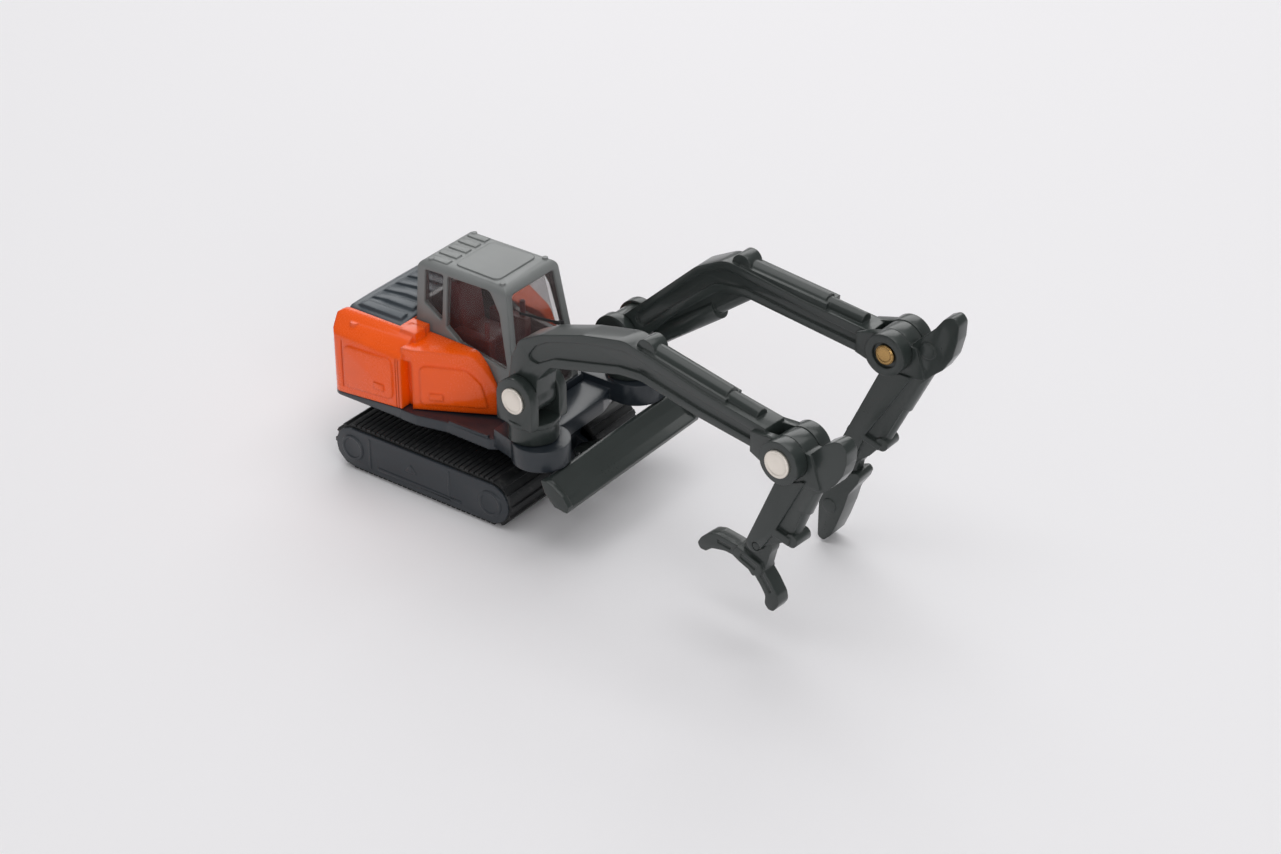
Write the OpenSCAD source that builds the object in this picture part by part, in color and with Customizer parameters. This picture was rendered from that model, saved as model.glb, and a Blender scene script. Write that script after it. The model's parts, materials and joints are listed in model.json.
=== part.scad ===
// Pocket-size twin-arm crawler machine: a slewing house with two jointed front arms,
// one ending in a gripper and one in a cutter. Millimetres, +X forward, +Y left, +Z up.
// The origin is on the slew axis at ground level.

/* [Running gear] */
// Distance from the middle to each outer side cover
half_w = 13.3; // [12.9:0.1:14]
// Distance between the end centres of each side cover
cover_run = 22.24; // [21.4:0.02:23]
// Radius of the rounded ends of each side cover
cover_r = 2.73; // [2.6:0.01:2.76]
// Outer radius of the belt where it turns, over its pads
belt_r = 3.23; // [3.2:0.01:3.3]
// Number of pads round each belt
pads = 42; // [30:2:46]
// Inner edge of each belt
belt_in = 4.7; // [4.6:0.05:5.2]
// Height of the belly over the ground
belly_z = 0.5; // [0.4:0.05:0.7]
// Radius of the hidden travel rollers
roller_r = 1.55; // [1.5:0.05:1.6]

/* [House] */
// Underside of the house floor
floor_z = 9.5; // [9.3:0.1:9.8]
// Half width of the rear cover
house_hw = 12.1; // [11.6:0.1:12.2]
// Top of the painted cover
house_top = 20.4; // [20:0.1:20.8]
// Radius of the curved tail, seen from above
tail_r = 31; // [26:1:38]
// Top of the cab roof
cab_top = 28.3; // [27.5:0.1:29]
// Wall of the painted cover
shell = 1.2; // [0.9:0.1:1.4]

/* [Front arms] */
// Distance forward of each swing pin
sw_x = 16.5; // [16.2:0.1:17]
// Distance sideways of each swing pin
sw_y = 9.8; // [9.6:0.1:10]
// Height of the boom foot pivot
foot_z = 18.9; // [18.6:0.1:19.2]
// Angle at which the right arm stands, seen from above
right_swing = -5; // [-8:0.5:2]
// Angle at which the left arm stands, seen from above
left_swing = -1; // [-2:0.5:6]
// Width of each boom
boom_w = 3.4; // [3:0.1:3.6]
// Width over the pivot ears
ear_w = 6.3; // [6:0.1:6.5]
// Radius of the pivot ears
ear_r = 2.85; // [2.7:0.05:3]
// Radius of the flat rivet heads
rivet_r = 1.68; // [1.5:0.02:1.8]

/* [Blade] */
// Half width of the dozer blade
blade_hw = 13.6; // [13:0.1:14]

/* [Hidden] */
$fn = 48;
run = cover_run / 2;
mid_z = belt_r;
belt_core = belt_r - 0.3;
belt_hole = belt_core - 0.55;
belt_out = half_w - 0.4;
gap = 0.1;
axle_x = 8;
hinge_x = 12.9;
hinge_z = 3.2;
boss_top = 10.95;
screw_x = [-11.5, 6.3];
foot_x = -1.4;
lug_z = 10.1;
post_z = 13.0;
right_elbow = [40.22, 7.6];
left_elbow = [39.46, 10.9];
right_tilt = 19;
left_tilt = 25;
wrist = [0.5, -14.1];
left_wrist = [1.9, -17.2];
dark = "#4a4e53";
plastic = "#3f4443";
orange = "#ff6b2b";

// Rounding one corner p of an outline between its neighbours a and b
function unit(v) = v / norm(v);
function turn(a) = a > 180 ? a - 360 : a < -180 ? a + 360 : a;
function bend(a, p, b, r, n) = let (
    u = unit(a - p), v = unit(b - p), half = acos(max(-1, min(1, u * v))) / 2,
    t = min(r / tan(half), 0.48 * min(norm(a - p), norm(b - p))),
    c = p + unit(u + v) * (t / cos(half)), s = p + u * t - c, e = p + v * t - c,
    a0 = atan2(s[1], s[0]), da = turn(atan2(e[1], e[0]) - a0))
  [for (i = [0:n]) c + norm(s) * [cos(a0 + da * i / n), sin(a0 + da * i / n)]];
function soft(pts, r, n = 5) = let (m = len(pts)) [for (i = [0:m - 1])
    let (q = is_list(r) ? r[i] : r)
    each (q > 0 ? bend(pts[(i + m - 1) % m], pts[i], pts[(i + 1) % m], q, n) : [pts[i]])];
function flipped(pts) = [for (i = [len(pts) - 1:-1:0]) [pts[i][0], -pts[i][1]]];

// A side view drawn in X and Z, as thick as w along Y and centred on y = 0
module side(w) rotate([90, 0, 0]) linear_extrude(w, center = true) children();
// A front view drawn in Y and Z, from x0 forward by d
module front(x0, d) translate([x0, 0, 0]) rotate([90, 0, 90]) linear_extrude(d) children();
module disc_y(r, w) rotate([90, 0, 0]) cylinder(r = r, h = w, center = true);
module block(x0, x1, y0, y1, z0, z1) translate([x0, y0, z0]) cube([x1 - x0, y1 - y0, z1 - z0]);
module both() { children(); mirror([0, 1, 0]) children(); }

// Where each front arm stands, and its own pivots
module at_right() translate([sw_x, -sw_y, 0]) rotate([0, 0, right_swing]) children();
module at_left() translate([sw_x, sw_y, 0]) rotate([0, 0, left_swing]) children();
module at_foot() translate([foot_x, 0, foot_z]) children();
module at_joint(p, tilt) at_foot() translate([p[0], 0, p[1]]) rotate([0, tilt, 0]) children();

// ---- running gear ----
module stadium(r) { for (s = [-1, 1]) translate([s * run, mid_z]) circle(r);
  translate([-run, mid_z - r]) square([2 * run, 2 * r]); }

module chassis() color(dark) difference() {
  union() {
    side(2 * belt_in - 0.5) polygon(soft([[-11.4, 1.3], [-10.2, belly_z], [10.6, belly_z],
      [11.6, 1.3], [11.6, 5.6], [10.6, 6.6], [-10.6, 6.6], [-11.4, 5.6]], 0.5, 3));
    translate([0, 0, 6.5]) cylinder(r = 4.1, h = 0.9);
    translate([0, 0, 6.9]) cylinder(r = 7.2, h = 1.3);
    translate([0, 0, 8]) cylinder(r = 3, h = boss_top - 8);
    both() translate([0, 3.95, 0]) side(0.8) polygon(soft([[10.8, 1.9], [hinge_x + 0.9, 2.1],
      [hinge_x + 1, 3.9], [10.8, 5.2]], [0, 0.9, 0.9, 0], 4));
    both() for (x = [-6.6, 6.6]) block(x - 1.5, x + 1.5, belt_in - 0.4, belt_in - 0.1, 1.9, 4.6);
  }
  for (x = [-axle_x, axle_x]) {
    both() block(x - roller_r - 0.3, x + roller_r + 0.3, 2.4, 4.1, -1, roller_r * 2 + 0.3);
    translate([x, 0, roller_r]) disc_y(0.56, 7);
  }
  both() translate([hinge_x, 3.95, hinge_z]) disc_y(0.42, 2);
  translate([0, 0, 2.5]) cylinder(r = 1.5, h = 10);
  translate([0, 0, belly_z - 1]) cylinder(r = 0.9, h = 4);
}

module side_frame() color(dark) union() {
  // outer cover with its raised rim, hub discs and small details
  translate([0, -half_w + 0.175, 0]) side(0.35) stadium(cover_r);
  difference() {
    translate([0, -half_w + 1.2, 0]) side(1.7) stadium(belt_hole - 0.05);
    translate([0, -half_w + 1.2, 0]) for (x = [-7, 0, 7]) translate([x, 0, mid_z]) disc_y(0.8, 3);
  }
  translate([0, -half_w - 0.02, 0]) for (s = [-1, 1]) translate([s * run, 0, mid_z]) difference() {
    disc_y(1.75, 0.3);
    translate([0, -0.15, 0]) disc_y(1.35, 0.2);
  }
  translate([-1.6, -half_w, 0]) side(0.3) polygon([[-0.9, 3.0], [0.9, 3.0], [0, 4.1]]);
  for (x = [-8.3, 4.6]) block(x - 0.15, x + 0.15, -half_w - 0.1, -half_w + 0.1, 1.1, 5.4);
  block(-7, 6.5, -half_w - 0.12, -half_w + 0.1, 1.35, 1.75);
  block(-9, 8.5, -half_w + 2, -belt_in + 0.08, mid_z - 1.35, mid_z + 1.35);
}

module belt() color("#1c1d1f") {
  w = belt_out - belt_in;
  translate([0, -(belt_out + belt_in) / 2, 0]) difference() {
    union() {
      side(w) stadium(belt_core);
      // pads on the straight runs, then round the ends
      n = floor(2 * run / (2 * (2 * run + 3.1416 * belt_r) / pads));
      pitch = 2 * run / (2 * n);
      for (i = [0:2 * n]) translate([-run + i * pitch, 0, mid_z])
        cube([0.55, w, 2 * belt_r], center = true);
      for (s = [-1, 1], a = [-60, -30, 30, 60, 0]) translate([s * run, 0, mid_z])
        rotate([0, a, 0]) translate([s * belt_r / 2, 0, 0]) cube([belt_r, w, 0.55], center = true);
    }
    side(w + 1) stadium(belt_hole);
  }
}

module right_side_frame() side_frame();
module left_side_frame() mirror([0, 1, 0]) side_frame();
module right_belt() belt();
module left_belt() mirror([0, 1, 0]) belt();

module slew_rivet() color("#8f9294") {
  translate([0, 0, 0.7]) cylinder(r = 0.88, h = 2.3);
  translate([0, 0, 2.6]) cylinder(r = 1.48, h = boss_top + 0.03 - 2.6);
  translate([0, 0, boss_top + 0.02]) cylinder(r = 4.1, h = 0.55);
}

module rollers(x) color("#2a2b2c") translate([x, 0, roller_r]) {
  disc_y(0.5, 7.8);
  both() translate([0, 3.25, 0]) disc_y(roller_r, 1.3);
}
module front_rollers() rollers(axle_x);
module rear_rollers() rollers(-axle_x);

module dozer_blade() color(plastic) difference() {
  union() {
    side(2 * blade_hw) polygon(soft([[23.3, 6.5], [23.45, 7.15], [22.3, 7.75], [21.1, 8.75],
      [20.15, 9.85], [19.3, 9.85], [20.0, 8.3], [21.4, 6.95], [22.6, 6.5]],
      [0.1, 0.2, 0.8, 1.2, 0.3, 0.3, 1, 1, 0.2], 3));
    // end plates, back ribs and the two lift arms
    both() translate([0, blade_hw - 0.45, 0]) side(0.9) polygon(soft([[23.3, 6.5], [23.45, 7.3],
      [22.6, 8.5], [21, 9.5], [20.15, 9.85], [19.3, 9.85], [19.9, 8.2], [21.4, 6.7]], 0.2, 3));
    both() translate([0, 2.75, 0]) side(1.1) polygon(soft([[hinge_x - 1, hinge_z + 0.1],
      [hinge_x + 0.2, hinge_z - 1], [21.3, 7.0], [20.1, 8.6], [hinge_x - 0.3, hinge_z + 1.1]],
      [0.8, 0.8, 0.1, 0.1, 0.8], 4));
    block(19.95, 20.9, -9.5, 9.5, 7.7, 8.3);
  }
  both() translate([hinge_x, 2.75, hinge_z]) disc_y(0.47, 3);
}
module blade_pins() color("#8f9294") both() translate([hinge_x, 3.3, hinge_z]) disc_y(0.41, 2.3);

// ---- house ----
// Outline of the house from above, tail rounded to a large radius, grown by g
function tail(hw, x1, g = 0) = let (cx = tail_r - 17.2, a = asin((hw + g) / (tail_r + g)))
  soft(concat([[x1, hw + g]], [for (i = [0:12]) let (t = a - i * a / 6)
    [cx - (tail_r + g) * cos(t), (tail_r + g) * sin(t)]], [[x1, -hw - g]]),
    [for (i = [0:14]) i == 1 || i == 13 ? 1.4 : 0], 5);

module upper_base() color(dark) difference() {
  union() {
    intersection() {
      translate([0, 0, floor_z]) linear_extrude(2) polygon(tail(house_hw, -3.7));
      side(40) polygon([[-18, 9], [-3.7, 9], [-3.7, 10.89], [-14, 9.95], [-18, 9.95]]);
    }
    translate([0, 0, floor_z]) linear_extrude(1.4) polygon(tail(house_hw, -3.7, -shell - 0.15));
    translate([0, 0, floor_z]) linear_extrude(1.4) polygon(soft([[-3.8, 12.2], [-1.2, 12.2],
      [2.8, 11.3], [9.6, 11.4], [12.6, 9.6], [12.6, -9.6], [9.6, -11.4], [2.8, -11.3],
      [-1.2, -12.2], [-3.8, -12.2]], [0, 1, 1, 0.8, 0.6, 0.6, 0.8, 1, 1, 0], 3));
    translate([0, 0, 8.4]) cylinder(r = 7.2, h = 1.4);
    // low kerb along each side of the deck and a sill in front of the cab
    both() block(3.2, 9.4, 10.95, 11.3, 10.8, 11.25);
    block(10.25, 10.6, -6.6, 6.6, 10.5, 12.4);
    // swing lugs reaching forward, with a web between them
    both() {
      translate([sw_x, sw_y, lug_z]) cylinder(r = 3.65, h = post_z - gap - lug_z);
      translate([0, 0, lug_z]) linear_extrude(post_z - gap - 0.25 - lug_z) polygon([[10.4, 6.2],
        [sw_x, sw_y - 3.65], [sw_x + 1, sw_y + 3.4], [10.4, 11.3]]);
    }
    translate([0, 0, floor_z]) linear_extrude(2.2) polygon(soft([[11, 8], [14.6, 7.4],
      [15.6, 4], [15.6, -4], [14.6, -7.4], [11, -8]], [0, 0.5, 1, 1, 0.5, 0], 3));
  }
  translate([0, 0, 5]) cylinder(r = 3.06, h = 10);
  both() translate([sw_x, sw_y, 0]) {
    translate([0, 0, 5]) cylinder(r = 1.15, h = 10);
    translate([0, 0, lug_z - 1]) cylinder(r = 1.75, h = 1.42);
  }
  for (x = screw_x) translate([x, 0, 5]) {
    cylinder(r = 0.75, h = 8);
    cylinder(r = 1.35, h = floor_z + 0.42 - 5);
  }
}

module base_screws() color("#8f9294") for (x = screw_x) translate([x, 0, 0]) {
  translate([0, 0, floor_z + 0.05]) difference() {
    cylinder(r = 1.3, h = 0.35);
    block(-0.9, 0.9, -0.15, 0.15, -0.1, 0.15);
    block(-0.15, 0.15, -0.9, 0.9, -0.1, 0.15);
  }
  translate([0, 0, floor_z + 0.3]) cylinder(r = 0.7, h = 2.6);
}

// Section of the rear cover across the machine: flat sides, sloping shoulders, flat top
module cover_section(hw, top, i) polygon(soft([[-hw, 8], [-hw, 18.1 - i / 2], [-hw + 2.9, top],
  [hw - 2.9, top], [hw, 18.1 - i / 2], [hw, 8]], [0, 1.8, 2.4, 2.4, 1.8, 0], 6));

module rear_cover(i) intersection() {
  translate([0, 0, floor_z + 0.5 - i]) linear_extrude(20) polygon(tail(house_hw, -3.6 - i, -i));
  front(-20, 20) cover_section(house_hw - i, house_top - i, i);
  side(40) polygon(soft([[-16.9 + i, 8], [-17.2 + i, 16], [-15.9 + i, house_top - i],
    [-3.6 - i, house_top - i], [-3.6 - i, 11 - 2 * i], [-14 + i, 10 - 1.6 * i], [-14 + i, 7]],
    [0, 1.5, 2.4, 0, 0, 0, 0], 6));
}

// Front covers: seen from above each side runs in towards the cab, so that the arms can swing
module front_cover(i) intersection() {
  side(40) polygon(soft([[-3.9, 11 - 2 * i], [-3.9, 19.4 - i], [4.2, 19.2 - i], [5.7 - i, 17.6 - i / 2],
    [7.0 - i, 15.2], [7.4 - i, 11.2 - 2 * i]], [0, 0, 1.6, 2, 2, 0], 6));
  translate([0, 0, 5]) linear_extrude(20) polygon([[-3.9, 11.5 - i], [-2.4, 11.3 - i],
    [7.6, 6.3 - i], [7.6, -6.3 + i], [-2.4, -11.3 + i], [-3.9, -11.5 + i]]);
  // both upper edges rounded over
  for (k = [0, 1]) mirror([0, k, 0]) translate([-2.4, 11.3, 0]) rotate([0, 0, -26.57])
    front(-12, 40) polygon(soft([[-26, 5], [-i, 5], [-i, 19.35 - i], [-26, 19.35 - i]],
      [0, 0, 1.9, 0], 7));
}
// A shape standing t proud of the slanting side of a front cover
module on_slant(t) translate([-2.4, 11.3, 0]) rotate([0, 0, -26.57]) translate([0, t / 2 - 0.3, 0])
  side(t + 0.6) children();

module body_shell() color(orange) difference() {
  union() {
    rear_cover(0);
    difference() {
      front_cover(0);
      // band between the two covers
      both() block(-3.7, -2.5, 10.55, 12.5, 9, 17.6);
    }
    // raised door panels, caps on the shoulders and the side catches
    both() {
      translate([0, house_hw + 0.05, 0]) side(0.5) polygon(soft([[-12.8, 11.2], [-12.8, 17.1],
        [-4.9, 17.5], [-4.9, 11.9]], 0.9, 5));
      on_slant(0.3) polygon(soft([[1, 11.9], [1, 17.3], [6.9, 17.2], [8.7, 15.4],
        [9.6, 12.1]], [0.6, 0.8, 1.6, 1.6, 0.4], 5));
      translate([-12.4, 10.2, 17.5]) cylinder(r = 0.6, h = 2.1);
      block(-5.6, -3.2, 7.4, 9.5, 18, 20.55);
      block(-7.8, -6.2, house_hw, house_hw + 0.46, 12.7, 13.6);
      on_slant(0.48) translate([2.2, 12.7]) square([1.7, 0.9]);
    }
  }
  // hollow under the cover, with a screw post and a shelf for the hood left standing
  difference() {
    rear_cover(shell);
    translate([screw_x[0], 0, 11]) cylinder(r = 1.8, h = 12);
    block(-17, screw_x[0], -0.6, 0.6, 11, 20);
    block(-18, -4.9, -9, 9, 17.6, 22);
  }
  front_cover(shell);
  translate([screw_x[0], 0, 5]) cylinder(r = 0.72, h = 9);
  block(-6.2, 12, -6.2, 6.2, 5, 30);
  // pocket for the hood
  block(-18, -6.25, -8.7, 8.7, 18.55, 30);
  // grooves round the door panels
  both() {
    block(-13.3, -13.12, house_hw - 0.14, house_hw + 1, 11.0, 17.6);
    for (x = [-4.5, -4.1]) block(x, x + 0.14, house_hw - 0.18, house_hw + 1, 10.5, 17.8);
  }
}

// Moulded hood, arched across and falling to the rear, with ribs running fore and aft
module hood_arch(x0, x1, up) intersection() {
  side(17) polygon(soft([[x0, 18.65], [x0, 19.5 + up], [x0 + 1.3, 20.35 + up], [-9.5, 20.9 + up],
    [x1, 20.95 + up], [x1, 18.65]], [0, 0.5, 1.6, 6, 0, 0], 6));
  front(-18, 13) polygon(soft([[-8.5, 18], [-8.5, 20.1 + up], [-4.6, 20.75 + up], [0, 20.95 + up],
    [4.6, 20.75 + up], [8.5, 20.1 + up], [8.5, 18]], [0, 0.5, 12, 12, 12, 0.5, 0], 5));
}
module engine_hood() color("#5a6166") difference() {
  union() {
    intersection() {
      hood_arch(-16.1, -6.35, 0);
      translate([0, 0, 10]) linear_extrude(20) polygon(tail(house_hw, -5, -1.15));
    }
    intersection() {
      hood_arch(-14.9, -7.1, 0.32);
      union() for (y = [-6.9:2.3:7]) block(-16, -6, y - 0.62, y + 0.62, 18.9, 22);
    }
  }
  block(-13.2, -5, -7.3, 7.3, 18, 19.6);
}

// Cab side view, shrunk inwards by i
module cab_side(i) polygon(soft([[-6.05 + i, 11 - i], [-6.05 + i, cab_top - i],
  [7.75 - i, cab_top - i], [9.3 - i, 17.6], [9.95 - i, 14], [10.1 - i, 11 - i]],
  [0, max(0.2, 1.1 - i), max(0.2, 1.3 - i), 2, 2, 0], 5));
module cab_front(i) polygon(soft([[-6.05 + i, 11 - i], [-6.05 + i, 17.5], [-5.05 + i, cab_top - i],
  [5.05 - i, cab_top - i], [6.05 - i, 17.5], [6.05 - i, 11 - i]],
  [0, 3, max(0.2, 1.0 - i), max(0.2, 1.0 - i), 3, 0], 5));
module cab_block(i) intersection() { side(30) cab_side(i); front(-8, 20) cab_front(i); }

// Window openings, g smaller all round for the panes
module side_panes(g) {
  polygon(soft([[-4.9 + g, 22.7 + g], [-4.9 + g, 27.2 - g], [-1.95 - g, 27.3 - g],
    [-1.95 - g, 20.9 + g]], 0.35, 4));
  polygon(soft([[-1.35 + g, 20.45 + g], [-1.35 + g, 27.3 - g], [5.3 - g, 27.4 - g],
    [6.9 - g, 24.8], [8.5 - g, 17.6 + g], [0.9, 18.9 + g]], [0.35, 0.35, 1, 1, 0.4, 1], 4));
}
module front_pane(g) polygon(soft([[-5.0 + g, 12.2 + g], [-5.0 + g, 17.6], [-4.15 + g, 27.2 - g],
  [4.15 - g, 27.2 - g], [5.0 - g, 17.6], [5.0 - g, 12.2 + g]], [0.4, 2, 0.5, 0.5, 2, 0.4], 4));
module rear_pane(g) polygon(soft([[-4.1 + g, 22.6 + g], [-4.1 + g, 27.0 - g], [4.1 - g, 27.0 - g],
  [4.1 - g, 22.6 + g]], 0.4, 4));

module cab_frame() color("#8b8f8d") difference() {
  union() {
    cab_block(0);
    // roof ribs, hatch lid and small lamps
    for (y = [-3.7:1.85:3.8]) block(-4.9, -2.1, y - 0.55, y + 0.55, cab_top - 0.2, cab_top + 0.14);
    translate([0, 0, cab_top - 0.2]) linear_extrude(0.36) polygon(soft([[-1.3, -3.7], [5.6, -3.9],
      [5.6, 3.9], [-1.3, 3.7]], 0.8, 4));
    both() for (x = [-4.6, 6.6]) translate([x, 4.2, cab_top - 0.3]) cylinder(r = 0.35, h = 0.5);
  }
  cab_block(0.75);
  block(-5.3, 9.3, -5.3, 5.3, 5, 16);
  side(30) side_panes(0);
  front(6.2, 8) front_pane(0);
  front(-9, 4) rear_pane(0);
}

// Local frame on the outside of the windscreen, X outwards and Z up the pane
module on_windscreen() translate([8.76, 0, 20]) rotate([0, -8.4, 0]) children();

module cab_glass() color([0.75, 0.8, 0.8, 0.4]) difference() {
  union() {
    intersection() {
      cab_block(0.2);
      union() {
        side(30) side_panes(0.04);
        front(6.2, 8) front_pane(0.04);
        front(-9, 4) rear_pane(0.04);
        cab_block(0.8);
      }
    }
  }
  cab_block(1.25);
  block(-5.3, 9.3, -5.3, 5.3, 5, 13.2);
  on_windscreen() translate([-3, 4, 0]) rotate([0, 90, 0]) cylinder(r = 0.28, h = 5);
}

module cab_seat() color("#6d2f30") difference() {
  union() {
    block(-4.3, 8.2, -4.3, 4.3, 12.9, 13.6);
    translate([screw_x[1], 0, 10.95]) cylinder(r = 1.6, h = 2.2);
    side(4.2) polygon(soft([[-3.6, 13.3], [-3.9, 24.6], [-2.4, 24.9], [-1.5, 18.3], [2.9, 18.3],
      [2.9, 17.1], [2.2, 17.1], [2.2, 13.3]], [0, 0.6, 0.6, 0.4, 0.4, 0.3, 0, 0], 4));
    both() block(-1.5, 4.2, 2.9, 4.1, 13.5, 19.4);
    both() translate([3.4, 3.5, 19.3]) cylinder(r = 0.35, h = 2.4);
  }
  translate([screw_x[1], 0, 10]) cylinder(r = 0.72, h = 3);
}

module wiper() color("#1b1c1d") on_windscreen() {
  translate([0.06, 4, 0]) rotate([58.2, 0, 0]) block(0, 0.26, -0.16, 0.16, 0, 8.35);
  translate([0.06, 4, 0]) rotate([0, 90, 0]) cylinder(r = 0.42, h = 0.5);
  translate([-0.6, 4, 0]) rotate([0, 90, 0]) cylinder(r = 0.25, h = 0.9);
}

// ---- front arms ----
module swing_pins() color("#8f9294") both() translate([sw_x, sw_y, 0]) {
  translate([0, 0, lug_z + 0.06]) cylinder(r = 1.7, h = 0.34);
  translate([0, 0, lug_z + 0.3]) cylinder(r = 1.14, h = 4.9);
}

// Turning post: round body on the lug, two ears round the boom foot
module post(s) color(plastic) difference() {
  union() {
    translate([foot_x + 0.15, 0, post_z]) cylinder(r = 3.15, h = 2.9);
    translate([foot_x + 0.15, 0, post_z + 2.3]) cylinder(r = 3.35, h = 0.6);
    translate([-0.25, 0, post_z]) cylinder(r = 2.25, h = 2.4);
    for (k = [-1, 1]) at_foot() translate([0, k * (ear_w / 4 + boom_w / 4 + gap / 2), 0]) {
      disc_y(ear_r, ear_w / 2 - boom_w / 2 - gap);
      translate([-ear_r, -(ear_w / 2 - boom_w / 2 - gap) / 2, -3.4])
        cube([2 * ear_r, ear_w / 2 - boom_w / 2 - gap, 3.4]);
    }
  }
  translate([0, 0, 10]) cylinder(r = 1.2, h = 5.5);
  at_foot() disc_y(0.93, 10);
  at_foot() tail_seat(s);
  at_foot() translate([-6, -boom_w / 2 - gap, -2.95]) cube([12, boom_w + 2 * gap, 8]);
}
module right_post() at_right() post(-1);
module left_post() at_left() post(1);

// Rivet along Y: flat dished head on side s, clinched end sunk in the ear on the other
module rivet(s) color("#d9d4c8") {
  translate([0, s * 0.2, 0]) disc_y(0.9, 5.94);
  translate([0, s * (ear_w / 2 + 0.17), 0]) difference() {
    disc_y(rivet_r, 0.3);
    translate([0, s * 0.2, 0]) disc_y(rivet_r - 0.35, 0.2);
  }
  translate([0, -s * 2.88, 0]) disc_y(1.22, 0.36);
}
module tail_seat(s) translate([0, -s * 3.68, 0]) disc_y(1.66, 2);
module right_foot_rivet() at_right() at_foot() rivet(-1);
module left_foot_rivet() at_left() at_foot() rivet(1);
module right_elbow_rivet() at_right() at_foot() translate([right_elbow[0], 0, right_elbow[1]])
  rivet(-1);
module left_elbow_rivet() at_left() at_foot() translate([left_elbow[0], 0, left_elbow[1]])
  rivet(1);

// Cylinder moulded on the boom or arm from p to q, radius r
module ram(p, q, r) translate([p[0], 0, p[1]])
  rotate([0, 90 - atan2(q[1] - p[1], q[0] - p[0]), 0]) cylinder(r = r, h = norm(q - p));

// Elbow fork at e: two ears, necked back to the boom along direction b
module fork(e, b) translate([e[0], 0, e[1]]) for (s = [-1, 1]) {
  translate([0, s * (ear_w / 4 + 0.65), 0]) disc_y(2.65, ear_w / 2 - 1.3);
  translate([0, s * 1.85, 0]) side(1.1) polygon([[b[0], b[1] + 1.3], [b[0], b[1] - 1.3],
    [-0.6, -2.4], [-0.6, 2.4]]);
}

right_outline = [[-2.3, 0.6], [-1.6, 4.8], [-0.3, 7.6], [3.5, 9.7], [9.9, 12.0], [16.3, 13.6],
  [27.7, 11.4], [37.2, 10.2], [37.2, 6.9], [27.4, 7.9], [19.0, 9.3], [15.6, 8.9], [4.6, 5.6],
  [2.6, 3.2], [2.3, 0.4]];
left_outline = [[-1.9, 1.7], [0.6, 2.7], [3.0, 4.9], [11.5, 12.9], [15.9, 15.2], [26.7, 13.4],
  [36.6, 12.4], [36.6, 9.0], [26.8, 10.2], [18.8, 11.2], [14.8, 10.6], [8.4, 5.2], [3.9, 0.6],
  [1.9, -1.6]];

module right_boom() color(plastic) at_right() at_foot() difference() {
  union() {
    side(boom_w) polygon(soft(right_outline,
      [0.5, 1, 2.2, 2.5, 6, 4.5, 0, 0, 0, 0, 3.5, 3.5, 0.6, 1, 0.5], 6));
    disc_y(2.45, boom_w);
    // arm ram on top, with its end knuckle and stepped sleeve
    translate([19.2, 0, 13.2]) disc_y(1.35, 2.4);
    ram([19.2, 12.9], [30.9, 11.1], 1.2);
    ram([30.6, 11.1], [35.3, 10.35], 0.95);
    translate([25, 0, 12]) rotate([0, 8.7, 0]) cube([12.5, 2.9, 0.9], center = true);
    fork(right_elbow, [-4.6, 0.7]);
  }
  // sunk panels on both sides
  for (s = [-1, 1]) translate([0, s * (boom_w / 2), 0]) side(0.7) polygon(soft([[0.8, 5.6],
    [2.3, 7.7], [4.4, 9.0], [10, 10.9], [16.4, 12.3], [27.6, 10.3], [35.3, 9.3], [35.3, 8.0],
    [27.4, 8.9], [18.8, 10.3], [15.4, 9.9], [5.4, 7.1], [2.6, 5.4]],
    [0.6, 1, 1, 4, 3.5, 0, 0.3, 0.3, 0, 2.5, 2.5, 0.6, 0.6], 5));
  disc_y(0.95, 10);
  translate([right_elbow[0], 0, right_elbow[1]]) { disc_y(0.92, 10); disc_y(3.05, 2.6); tail_seat(-1); }
}

module left_boom() color(plastic) at_left() at_foot() difference() {
  union() {
    side(boom_w) polygon(soft(left_outline,
      [0.8, 1, 1, 4, 4, 0, 0, 0, 0, 3, 3.5, 0, 0.6, 0.8], 6));
    disc_y(2.45, boom_w);
    // lift ram under the root, arm ram on top
    ram([5.2, 0.9], [14.0, 7.4], 1.35);
    ram([13.8, 7.4], [18.4, 10.9], 0.85);
    side(1.5) polygon([[6.2, 3.4], [6.4, 1.7], [13.8, 7.2], [18.2, 10.8], [15, 12], [8, 6]]);
    translate([17.9, 0, 14.9]) disc_y(1.35, 2.4);
    ram([17.9, 14.4], [29.7, 13.2], 1.2);
    ram([29.4, 13.2], [34.9, 12.6], 0.95);
    translate([24, 0, 14]) rotate([0, 5.8, 0]) cube([12.5, 2.9, 0.9], center = true);
    fork(left_elbow, [-4.4, 0]);
  }
  for (s = [-1, 1]) translate([0, s * (boom_w / 2), 0]) side(0.7) polygon(soft([[2.3, 2.4],
    [2.8, 3.6], [12.2, 12.2], [16.0, 14.0], [26.6, 12.4], [34.8, 11.4], [34.8, 10.2], [26.7, 11.1],
    [18.6, 12.2], [14.4, 11.6], [7.9, 6.2], [3.8, 2.1]],
    [0.5, 0.5, 3, 3, 0, 0.3, 0.3, 0, 2, 2.5, 0, 0.5], 5));
  disc_y(0.95, 10);
  translate([left_elbow[0], 0, left_elbow[1]]) { disc_y(0.92, 10); disc_y(3.05, 2.6); tail_seat(1); }
}

// Parts of an arm, drawn with the elbow at the origin and the arm straight down
module arm_web(w, pts, r) side(w) polygon(soft(pts, r, 4));
module wrist_ears(p) for (s = [-1, 1]) translate([p[0], s * 1.15, p[1]]) disc_y(1.65, 0.7);
module elbow_cut() {
  disc_y(0.98, 12);
  difference() { disc_y(3.05, 12); disc_y(4, 2.4); }
}

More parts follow.
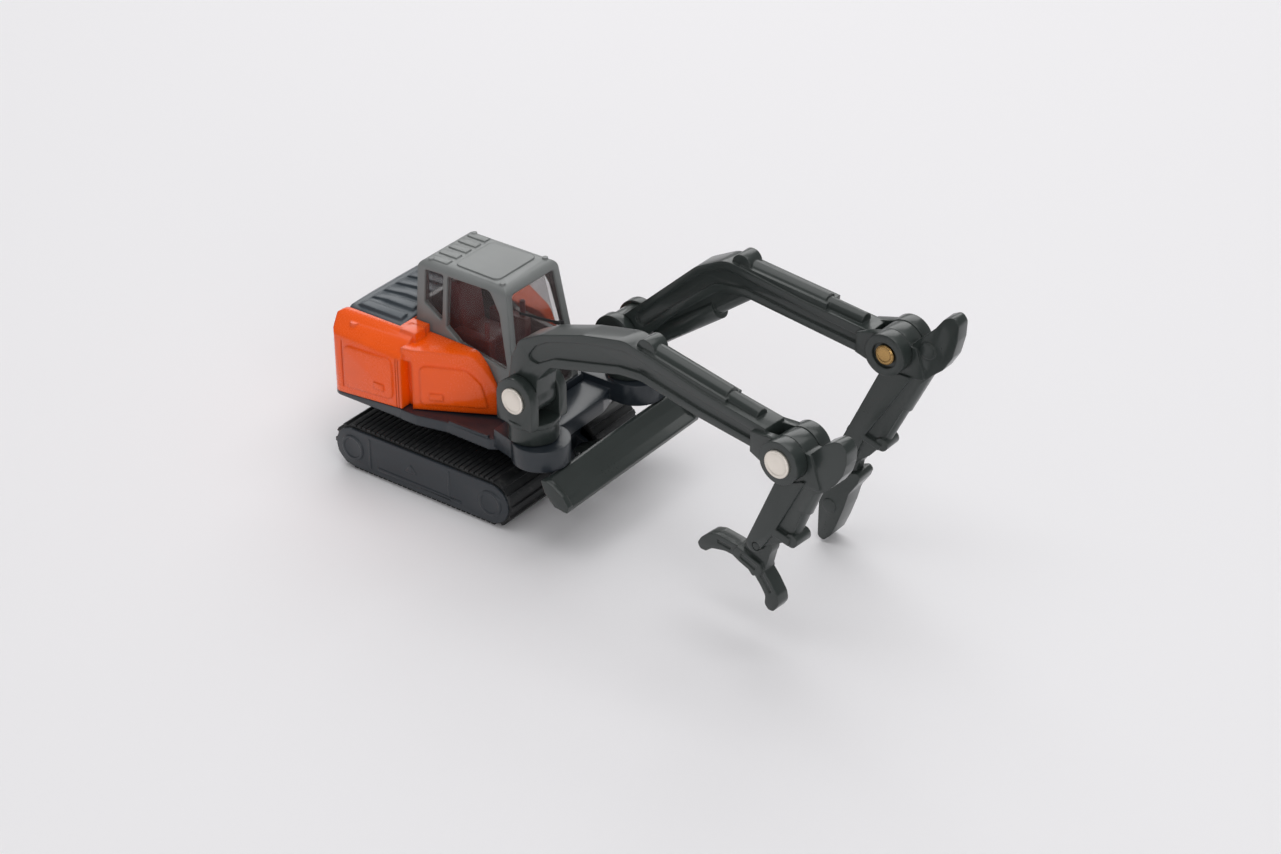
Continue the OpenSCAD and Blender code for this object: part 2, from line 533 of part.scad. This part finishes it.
module right_arm() color(plastic) at_right() at_joint(right_elbow, right_tilt) difference() {
  union() {
    disc_y(2.6, 2.4);
    arm_web(2.4, [[-1.6, 1], [-0.4, -4], [5.2, -1.2], [2.4, 2.2]], 0.3);
    // horn with a thinner face inside its rim
    arm_web(1.9, [[1.6, 1.0], [2.4, 2.5], [3.3, 4.5], [4.3, 5.9], [5.2, 6.4], [6.2, 5.7], [6.7, 4.2],
      [6.8, 2.6], [6.4, 0.9], [5.6, -0.9], [4.4, -2.6], [1.2, -1.8]],
      [0, 0.6, 2, 1, 0.8, 0.8, 1.5, 1.5, 1.5, 0.8, 0, 0]);
    // box section, ram along its front edge, rib, web and heel
    arm_web(3.0, [[-0.2, -3], [3.1, -1.4], [1.9, -10.6], [1.5, -12.5], [0.9, -14.9], [-0.3, -15.2],
      [-0.95, -14.5]], [0, 0, 0, 0, 0.8, 0.8, 0.6]);
    arm_web(1.9, [[1, -2], [4.1, -1], [3.9, -10.4], [3.0, -11.6], [0.6, -14.5], [0, -11]], 0.2);
    arm_web(3.0, [[-0.6, -10.3], [4.0, -9.7], [4.3, -10.7], [-0.6, -11.4]], 0.15);
    ram([4.0, 0.2], [3.75, -5.7], 1.0);
    ram([3.75, -5.6], [3.6, -9.8], 0.8);
    translate([4.2, 0, -10.0]) disc_y(0.85, 2.6);
  }
  elbow_cut();
  translate([wrist[0], 0, wrist[1]]) { disc_y(0.57, 6); disc_y(1.95, 1.7); }
}

module left_arm() color(plastic) at_left() at_joint(left_elbow, left_tilt) difference() {
  union() {
    disc_y(2.6, 2.4);
    arm_web(2.4, [[-1.6, 1], [0.4, -4], [5.2, -0.6], [2.4, 2.2]], 0.3);
    arm_web(1.9, [[1.4, 1.4], [1.8, 2.8], [2.4, 4.4], [3.0, 6.3], [3.3, 8.0], [4.2, 9.2], [5.2, 8.7],
      [6.0, 6.8], [6.5, 4.4], [6.3, 2.2], [5.5, 0.4], [4.8, -2], [1.2, -1.8]],
      [0, 0.6, 1, 1, 0.8, 0.8, 0.8, 1.5, 1.5, 1.2, 0.8, 0, 0]);
    translate([3.6, 0, 3.0]) disc_y(1.05, 2.3);
    arm_web(3.0, [[0.1, -3], [3.7, -1.4], [3.0, -8.4], [2.5, -12.9], [3.1, -18.0], [2.4, -19.0],
      [1.0, -18.6], [0.3, -16.5]], [0, 0, 0, 0, 0.8, 0.8, 0.8, 1]);
    arm_web(1.9, [[1, -2], [4.8, -1], [4.7, -13], [4.2, -15.2], [3.0, -17.6], [1, -14]], 0.2);
    arm_web(3.0, [[0.2, -13.2], [4.9, -12.4], [4.9, -13.2], [0.2, -14.0]], 0.15);
    ram([4.5, 0.6], [4.45, -6.3], 1.0);
    ram([4.45, -6.2], [4.4, -11.9], 0.8);
    translate([4.8, 0, -12.4]) disc_y(0.85, 2.6);
  }
  elbow_cut();
  translate([left_wrist[0], 0, left_wrist[1]]) { disc_y(0.57, 6); disc_y(1.95, 1.7); }
}

module wrist_pin() color("#4b4f4e") disc_y(0.5, 3.0);
module right_wrist_pin() at_right() at_joint(right_elbow, right_tilt)
  translate([wrist[0], 0, wrist[1]]) wrist_pin();
module left_wrist_pin() at_left() at_joint(left_elbow, left_tilt)
  translate([left_wrist[0], 0, left_wrist[1]]) wrist_pin();

// Two slim bent fingers on a flat hub
module gripper() color(plastic) at_right() at_joint(right_elbow, right_tilt) difference() {
  union() {
    translate([wrist[0], 0, wrist[1]]) disc_y(1.7, 1.5);
    arm_web(1.5, [[-1.1, -14.0], [2.1, -14.0], [2.4, -17.2], [-1.2, -17.2]], 0.1);
    arm_web(2.5, [[-1.9, -16.4], [1.7, -16.3], [2.4, -17.3], [1.4, -18.5], [0.6, -18.1],
      [-0.9, -18.1], [-2.3, -17.9]], 0.3);
    arm_web(1.9, [[-1.2, -16.4], [-3.3, -16.9], [-4.9, -17.3], [-6.0, -18.1], [-6.7, -19.4],
      [-6.9, -20.5], [-6.3, -21.0], [-5.5, -20.7], [-4.9, -19.7], [-3.2, -18.6], [-1.2, -18.0]],
      [0, 2, 1.5, 1.5, 1.5, 0.5, 0.4, 0.5, 1.2, 2, 0]);
    arm_web(1.9, [[1.0, -16.4], [2.2, -16.9], [3.6, -17.7], [5.1, -18.8], [5.7, -19.8], [5.4, -21.1],
      [4.7, -21.4], [4.0, -21.0], [3.7, -19.9], [2.6, -19.1], [1.0, -18.2]],
      [0, 2, 1.5, 1.2, 1.2, 0.5, 0.5, 0.6, 1, 2, 0]);
  }
  translate([wrist[0], 0, wrist[1]]) {
    disc_y(0.57, 6);
    difference() { disc_y(1.95, 6); disc_y(3, 1.5); }
  }
  for (s = [-1, 1]) {
    translate([0.2, s * 1.25, -17.2]) cube([2.4, 0.3, 0.7], center = true);
    // grooves along the finger sides
    translate([0, s * 0.95, 0]) side(0.3) polygon([[-2.6, -17.4], [-4.6, -17.9], [-4.5, -18.4],
      [-2.6, -17.9]]);
    translate([0, s * 0.95, 0]) side(0.3) polygon([[2.3, -17.5], [4.3, -18.8], [4.0, -19.2],
      [2.1, -18.1]]);
  }
}

// Closed beak of two jaws
module cutter() color(plastic) at_left() at_joint(left_elbow, left_tilt) difference() {
  union() {
    translate([left_wrist[0], 0, left_wrist[1]]) disc_y(1.7, 1.5);
    arm_web(1.5, [[0.4, -17.4], [3.4, -17.2], [4.2, -20.6], [1.2, -20.6]], 0.1);
    arm_web(3.0, [[0.9, -19.9], [3.2, -19.3], [4.1, -18.3], [4.8, -18.6], [4.9, -19.6], [4.6, -21.8],
      [5.0, -24.0], [5.3, -26.8], [5.4, -28.9], [4.9, -30.3], [4.0, -30.3], [3.0, -28.2], [1.9, -25.8],
      [1.4, -23.6]], [0.6, 0.4, 0.4, 0.4, 0.4, 2, 2, 2, 0.5, 0.5, 0.5, 2, 2, 1]);
    translate([3.3, 0, -25.2]) disc_y(0.95, 3.3);
  }
  translate([left_wrist[0], 0, left_wrist[1]]) {
    disc_y(0.57, 6);
    difference() { disc_y(1.95, 6); disc_y(3, 1.5); }
  }
}

chassis();
right_side_frame();
left_side_frame();
right_belt();
left_belt();
slew_rivet();
front_rollers();
rear_rollers();
dozer_blade();
blade_pins();
upper_base();
base_screws();
body_shell();
engine_hood();
cab_frame();
cab_glass();
cab_seat();
wiper();
swing_pins();
right_post();
left_post();
right_foot_rivet();
left_foot_rivet();
right_boom();
left_boom();
right_elbow_rivet();
left_elbow_rivet();
right_arm();
left_arm();
right_wrist_pin();
left_wrist_pin();
gripper();
cutter();
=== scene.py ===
import json
import math
import bpy
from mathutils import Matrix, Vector


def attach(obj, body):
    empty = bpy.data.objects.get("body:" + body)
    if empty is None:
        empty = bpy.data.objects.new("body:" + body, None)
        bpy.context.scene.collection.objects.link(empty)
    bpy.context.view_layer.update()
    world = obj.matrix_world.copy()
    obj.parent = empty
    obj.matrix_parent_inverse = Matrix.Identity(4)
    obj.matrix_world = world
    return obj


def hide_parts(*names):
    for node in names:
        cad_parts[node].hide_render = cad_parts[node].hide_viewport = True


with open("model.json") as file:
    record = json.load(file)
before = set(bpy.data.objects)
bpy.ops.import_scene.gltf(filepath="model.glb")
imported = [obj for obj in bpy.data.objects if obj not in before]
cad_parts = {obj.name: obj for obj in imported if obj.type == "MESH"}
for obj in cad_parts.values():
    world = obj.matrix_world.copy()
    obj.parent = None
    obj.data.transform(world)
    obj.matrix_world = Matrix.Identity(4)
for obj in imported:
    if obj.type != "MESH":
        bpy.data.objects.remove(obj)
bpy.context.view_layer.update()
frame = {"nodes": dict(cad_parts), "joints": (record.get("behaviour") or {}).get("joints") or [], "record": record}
mm = 0.001
nodes = frame["nodes"]
record = frame["record"]
bodyOf = {n: b for b, ns in record["behaviour"]["bodies"].items() for n in ns}
slotOf = {p["node"]: p["material_slot"] for p in record["subparts"]}
jointAt = {j["name"]: Vector(j["pos_m"]) for j in frame["joints"]}
jointAxis = {j["name"]: Vector(j["axis"]) for j in frame["joints"]}
bpy.ops.object.select_all(action="DESELECT")
print("frame loaded:", len(nodes), "nodes")


# Camera, lights and surroundings
view = {"place": (0.2013, -0.2419, 0.1930), "aim": (0.02423, 0.0, 0.01237), "lens": 80.66,
        "sensor": 36, "nearest": 0.01}
bpy.ops.object.camera_add(location=view["place"])
camera = bpy.context.object
camera.name = "camera"
camera.data.lens = view["lens"]
camera.data.sensor_width = view["sensor"]
camera.data.clip_start = view["nearest"]
camera.rotation_euler = (Vector(view["aim"]) - camera.location).to_track_quat("-Z", "Y").to_euler()
bpy.context.scene.camera = camera

studio = {"floor": (0.86, 0.85, 0.87), "floorSize": 3, "floorHeight": -0.00002, "floorRoughness": 0.9,
          "world": 0.29, "lampAim": (0.03, 0, 0.01)}
lamps = {
    "topBox": {"place": (0.02, 0.05, 0.55), "size": (0.7, 0.6), "strength": 1.9},
    "backBox": {"place": (-0.25, 0.45, 0.35), "size": (0.6, 0.35), "strength": 1.2},
    "frontBox": {"place": (0.45, -0.4, 0.3), "size": (0.5, 0.4), "strength": 1.1},
}


def softBox(name, place, size, strength):
    bpy.ops.object.light_add(type="AREA", location=place)
    lamp = bpy.context.object
    lamp.name = name
    lamp.data.shape = "RECTANGLE"
    lamp.data.size, lamp.data.size_y = size
    lamp.data.energy = strength
    lamp.rotation_euler = (Vector(studio["lampAim"]) - lamp.location).to_track_quat("-Z", "Y").to_euler()


for name, lamp in lamps.items():
    softBox(name, **lamp)
world = bpy.data.worlds.new("studio")
bpy.context.scene.world = world
bpy.context.scene.view_settings.view_transform = "Standard"
world.use_nodes = True
backdrop = world.node_tree.nodes["Background"].inputs
backdrop["Color"].default_value = (1, 1, 1, 1)
backdrop["Strength"].default_value = studio["world"]
print("camera and lamps ready:", len(lamps), "lamps")


def camel(name):
    first, *rest = name.split("_")
    return first + "".join(word.capitalize() for word in rest)


# Shader maths as plain expressions
class Wire:
    def __init__(self, tree, socket=None):
        self.tree, self.socket = tree, socket

    def node(self, kind, settings, sockets, out=0):
        made = self.tree.nodes.new("ShaderNode" + kind)
        for key, value in settings.items():
            setattr(made, key, value)
        for key, value in sockets.items():
            if isinstance(value, Wire):
                self.tree.links.new(value.socket, made.inputs[key])
            else:
                made.inputs[key].default_value = value
        return Wire(self.tree, made.outputs[out] if made.outputs else None)

    def maths(self, operation, first, second=0.0, clamp=False):
        return self.node("Math", {"operation": operation, "use_clamp": clamp}, {0: first, 1: second})

    def __add__(self, other): return self.maths("ADD", self, other)
    def __radd__(self, other): return self.maths("ADD", other, self)
    def __sub__(self, other): return self.maths("SUBTRACT", self, other)
    def __rsub__(self, other): return self.maths("SUBTRACT", other, self)
    def __mul__(self, other): return self.maths("MULTIPLY", self, other)
    def __rmul__(self, other): return self.maths("MULTIPLY", other, self)

    def clamped(self): return self.maths("ADD", self, 0.0, True)

    def noise(self, cell, detail=3.0, rough=0.55):
        place = self.node("TexCoord", {}, {}, "Object")
        return self.node("TexNoise", {}, {"Vector": place, "Scale": 1 / (cell * mm),
                                          "Detail": detail, "Roughness": rough})

    def above(self, low, high):
        # 0 up to low, 1 from high on, and a straight rise between
        return ((self - low) * (1 / (high - low))).clamped()

    def mix(self, first, second):
        first, second = ((*c, 1) if isinstance(c, tuple) else c for c in (first, second))
        return self.node("Mix", {"data_type": "RGBA"}, {0: self, 6: first, 7: second}, 2)


# What every finish but the window's shares. A cell is the size of a pattern's patches in mm
common = {
    "darker": 1.6, "tintRange": (0.3, 0.7), "grainStrength": 0.4, "waveCell": 1.3, "waveStrength": 0.5,
    "dustCell": 1.1, "dustRange": (0.55, 0.8), "dustColour": (0.55, 0.53, 0.5), "dustRoughness": 0.3,
    "coatRoughness": 0.06, "bevelSamples": 4,
}


def finish(name, colour, rough, **more):
    # Tint drift, fine grain, a slow wave in the gloss and settled dust. The Bevel node softens
    # edges in the shading only, over a radius of "soft" mm
    look = {"drift": 0.06, "cell": 6, "grain": 0.22, "grainDepth": 0.002, "wave": 0.0, "metal": 0.0,
            "coat": 0.0, "dust": 0.0, "spread": 0.05, "spec": 0.5, "soft": 0.25}
    look.update(more)
    paint = bpy.data.materials.new(name)
    paint.use_nodes = True
    tree = paint.node_tree
    tree.nodes.clear()
    start = Wire(tree)
    cloud = start.noise(look["cell"], 2.0)
    fine = start.noise(look["grain"], 3.0, 0.6)
    darker = tuple(c * (1 - look["drift"] * common["darker"]) for c in colour)
    lighter = tuple(min(1.0, c * (1 + look["drift"])) for c in colour)
    tint = cloud.above(*common["tintRange"]).mix(darker, lighter)
    roughness = (cloud - 0.5) * look["spread"] + rough + (fine - 0.5) * look["spread"]
    if look["dust"]:
        settled = start.noise(common["dustCell"], 4.0, 0.7).above(*common["dustRange"]) * look["dust"]
        tint = settled.mix(tint, common["dustColour"])
        roughness = roughness + settled * common["dustRoughness"]
    softened = start.node("Bevel", {"samples": common["bevelSamples"]}, {"Radius": look["soft"] * mm})
    bump = start.node("Bump", {}, {"Height": fine, "Strength": common["grainStrength"],
                                   "Distance": look["grainDepth"] * mm, "Normal": softened})
    if look["wave"]:
        slow = start.noise(common["waveCell"], 1.0)
        bump = start.node("Bump", {}, {"Height": slow, "Strength": common["waveStrength"],
                                       "Distance": look["wave"] * mm, "Normal": bump})
    shader = start.node("BsdfPrincipled", {}, {"Base Color": tint, "Roughness": roughness,
                        "Metallic": look["metal"], "Coat Weight": look["coat"],
                        "Coat Roughness": common["coatRoughness"],
                        "Specular IOR Level": look["spec"], "Normal": bump}, "BSDF")
    start.node("OutputMaterial", {}, {"Surface": shader})
    return paint


looks = {
    "dark_casting": ((0.017, 0.023, 0.030), 0.30, {"wave": 0.004, "coat": 0.15}),
    "orange_enamel": ((1.0, 0.108, 0.001), 0.27,
                      {"wave": 0.004, "coat": 0.4, "drift": 0.03, "spec": 0.35, "soft": 0.5}),
    "arm_plastic": ((0.024, 0.031, 0.029), 0.29, {"grainDepth": 0.003, "wave": 0.004, "coat": 0.2}),
    "hood_plastic": ((0.052, 0.066, 0.080), 0.32, {"grainDepth": 0.004, "soft": 0.5}),
    "cab_plastic": ((0.195, 0.205, 0.203), 0.33, {"grainDepth": 0.004, "wave": 0.003}),
    "cabin_plastic": ((0.13, 0.020, 0.020), 0.42, {"grainDepth": 0.004}),
    "belt_rubber": ((0.011, 0.012, 0.013), 0.55, {"dust": 0.08, "grainDepth": 0.008, "soft": 0.08}),
    "roller_plastic": ((0.02, 0.02, 0.022), 0.5, {}),
    "rivet_metal": ((0.86, 0.80, 0.72), 0.34, {"metal": 0.75, "grain": 0.12, "drift": 0.04}),
    "steel": ((0.5, 0.5, 0.5), 0.3, {"metal": 1.0}),
    "black_trim": ((0.012, 0.012, 0.013), 0.35, {}),
    "pin_plastic": ((0.030, 0.036, 0.035), 0.40, {}),
}
finishes = {}
for slot, (colour, rough, more) in looks.items():
    finishes[slot] = finish(camel(slot), colour, rough, **more)


# The clear window: see-through, less so at a glancing angle, with a faint haze
window = {"clear": 0.07, "rim": 0.35, "haze": 0.03, "colour": (0.16, 0.12, 0.12), "roughness": 0.03,
          "hazeRoughness": 0.05, "waveCell": 1.6, "waveHeight": 0.006, "waveStrength": 0.4}


def windowFinish():
    clear = bpy.data.materials.new("clearWindow")
    clear.use_nodes = True
    tree = clear.node_tree
    tree.nodes.clear()
    start = Wire(tree)
    rim = start.node("LayerWeight", {}, {"Blend": 0.25}, "Fresnel")
    haze = start.noise(3.0, 2.0).above(0.4, 0.8)
    alpha = (rim * window["rim"] + haze * window["haze"] + window["clear"]).clamped()
    roughness = haze * window["hazeRoughness"] + window["roughness"]
    bump = start.node("Bump", {}, {"Height": start.noise(window["waveCell"], 1.0),
                                   "Strength": window["waveStrength"],
                                   "Distance": window["waveHeight"] * mm})
    shader = start.node("BsdfPrincipled", {}, {"Base Color": (*window["colour"], 1),
                        "Roughness": roughness, "Alpha": alpha, "Coat Weight": 1.0,
                        "Coat Roughness": window["roughness"], "Normal": bump}, "BSDF")
    start.node("OutputMaterial", {}, {"Surface": shader})
    return clear


finishes["window"] = windowFinish()
print("finishes ready:", len(finishes))

# The widest bevel each node's copy may have, in mm; 0 where the CAD shape is kept as it is
softness = {
    "chassis": 0.16, "right_side_frame": 0.09, "left_side_frame": 0.09, "right_belt": 0.06,
    "left_belt": 0.06, "slew_rivet": 0.1, "front_rollers": 0.12, "rear_rollers": 0.12,
    "dozer_blade": 0.14, "blade_pins": 0.1, "upper_base": 0.2, "base_screws": 0.06,
    "body_shell": 0.24, "engine_hood": 0.3, "cab_frame": 0.14, "cab_glass": 0, "cab_seat": 0.4,
    "wiper": 0.06, "swing_pins": 0.12, "right_post": 0.2, "left_post": 0.2,
    "right_foot_rivet": 0.09, "left_foot_rivet": 0.09, "right_boom": 0.2, "left_boom": 0.2,
    "right_elbow_rivet": 0.09, "left_elbow_rivet": 0.09, "right_arm": 0.2, "left_arm": 0.2,
    "right_wrist_pin": 0.1, "left_wrist_pin": 0.1, "gripper": 0.2, "cutter": 0.25,
}


def only(piece):
    bpy.ops.object.select_all(action="DESELECT")
    piece.select_set(True)
    bpy.context.view_layer.objects.active = piece


# Merging distance in mm; the angles, in degrees, under which faces join, over which an edge is
# bevelled, and under which it is shaded smooth
refining = {"merge": 0.002, "flat": 0.6, "sharp": 32, "smooth": 34, "segments": 3}


def refined(node, width):
    # A merged copy of a CAD node, which then stands for it. The smallest detail of a piece
    # holds its whole bevel back, so only the pins, screws, rollers and slew rivet get the
    # full width, and the large covers, booms and tools are left with next to none
    piece = bpy.data.objects.new(camel(node + "_shape"), nodes[node].data.copy())
    bpy.context.collection.objects.link(piece)
    only(piece)
    bpy.ops.object.mode_set(mode="EDIT")
    bpy.ops.mesh.select_all(action="SELECT")
    bpy.ops.mesh.remove_doubles(threshold=refining["merge"] * mm)
    bpy.ops.mesh.dissolve_limited(angle_limit=math.radians(refining["flat"]))
    bpy.ops.object.mode_set(mode="OBJECT")
    corner = piece.modifiers.new("roundedEdges", "BEVEL")
    corner.width = width * mm
    corner.segments = refining["segments"]
    corner.angle_limit = math.radians(refining["sharp"])
    bpy.ops.object.modifier_apply(modifier=corner.name)
    bpy.ops.object.shade_smooth_by_angle(angle=math.radians(refining["smooth"]))
    piece.data.materials.clear()
    slot = slotOf[node]
    piece.data.materials.append(finishes[slot])
    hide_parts(node)
    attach(piece, bodyOf[node])
    return piece


pieces = {}
for node, width in softness.items():
    if width:
        pieces[node] = refined(node, width)

# The clinched end of the left elbow rivet: a turned-over ring on the end of its shank
clinch = {"radius": 1.15, "height": 0.3, "out": 3.0, "lip": 0.34, "wall": 0.12, "sunk": 0.2,
          "step": 0.22, "rise": 0.1, "soft": 0.12, "reach": 2.5, "sides": 40, "facing": 0.9,
          "smooth": 40}


def clinchedEnd(joint, side):
    axis = jointAxis[joint] * (-1 if jointAxis[joint].y < 0 else 1) * side
    place = jointAt[joint] + axis * clinch["out"] * mm
    bpy.ops.mesh.primitive_cylinder_add(vertices=clinch["sides"], radius=clinch["radius"] * mm,
                                        depth=clinch["height"] * mm, location=place)
    piece = bpy.context.object
    piece.name = camel(joint + "_clinch")
    piece.rotation_euler = axis.to_track_quat("Z", "Y").to_euler()
    only(piece)
    bpy.ops.object.transform_apply(location=True, rotation=True, scale=True)
    bpy.ops.object.mode_set(mode="EDIT")
    bpy.ops.mesh.select_all(action="DESELECT")
    bpy.ops.object.mode_set(mode="OBJECT")
    for face in piece.data.polygons:
        face.select = face.normal.dot(axis) > clinch["facing"]
    bpy.ops.object.mode_set(mode="EDIT")
    bpy.ops.mesh.inset(thickness=clinch["lip"] * mm, depth=0)
    bpy.ops.mesh.inset(thickness=clinch["wall"] * mm, depth=-clinch["sunk"] * mm)
    bpy.ops.mesh.inset(thickness=clinch["step"] * mm, depth=clinch["rise"] * mm)
    bpy.ops.object.mode_set(mode="OBJECT")
    corner = piece.modifiers.new("roundedEdges", "BEVEL")
    corner.width = clinch["soft"] * mm
    corner.segments = refining["segments"]
    bpy.ops.object.modifier_apply(modifier=corner.name)
    bpy.ops.object.shade_smooth_by_angle(angle=math.radians(clinch["smooth"]))
    piece.data.materials.append(brass)
    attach(piece, "left_boom")


brass = finish("brassEnd", (0.50, 0.31, 0.12), 0.26, metal=1.0, grain=0.15, drift=0.1)
clinchedEnd("left_elbow", -1)
end = pieces["left_elbow_rivet"]
end.data.materials.append(brass)
for face in end.data.polygons:
    if (face.center - jointAt["left_elbow"]).y < -clinch["reach"] * mm:
        face.material_index = 1
nodes["cab_glass"].data.materials.clear()
nodes["cab_glass"].data.materials.append(finishes["window"])
print("copies made:", len(pieces), "and the brass end")

# A plain pale floor
bpy.ops.mesh.primitive_plane_add(size=studio["floorSize"], location=(0, 0, studio["floorHeight"]))
floor = bpy.context.object
floor.name = "floor"
card = bpy.data.materials.new("paleCard")
card.use_nodes = True
surface = card.node_tree.nodes["Principled BSDF"].inputs
surface["Base Color"].default_value = (*studio["floor"], 1)
surface["Roughness"].default_value = studio["floorRoughness"]
floor.data.materials.append(card)
